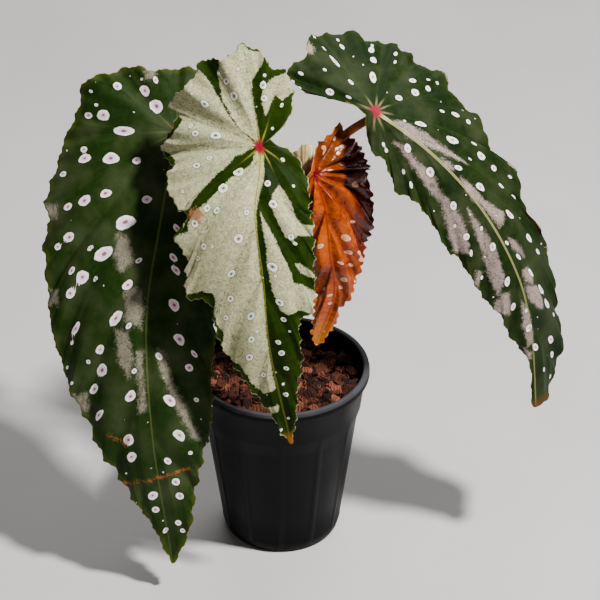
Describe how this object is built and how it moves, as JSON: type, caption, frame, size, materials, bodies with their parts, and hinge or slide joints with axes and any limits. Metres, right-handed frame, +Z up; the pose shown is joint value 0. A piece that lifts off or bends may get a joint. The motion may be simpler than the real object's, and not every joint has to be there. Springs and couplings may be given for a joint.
{
  "type": "potted begonia",
  "caption": "Angel-wing begonia with large spotted drooping leaves and a small orange young leaf on one cane, standing in a round black nursery pot of bark mix.",
  "frame": {"origin": "centre of the pot's flat underside, on the surface it stands on", "axes": "+Z up; +X to the viewer's right and +Y away from the viewer in the reference view"},
  "size_m": [0.3444, 0.1428, 0.3668],
  "materials": {
    "pot": "satin",
    "potting_mix": "matte",
    "cane": "satin",
    "bract": "matte",
    "leaf_green": "gloss",
    "leaf_orange": "gloss"
  },
  "bodies": {
    "root": {"pot": "pot", "potting_mix": "potting_mix", "cane": "cane", "bract": "bract", "leaf_left": "leaf_green", "leaf_centre": "leaf_green", "leaf_right": "leaf_green", "leaf_young": "leaf_orange"}
  },
  "joints": []
}
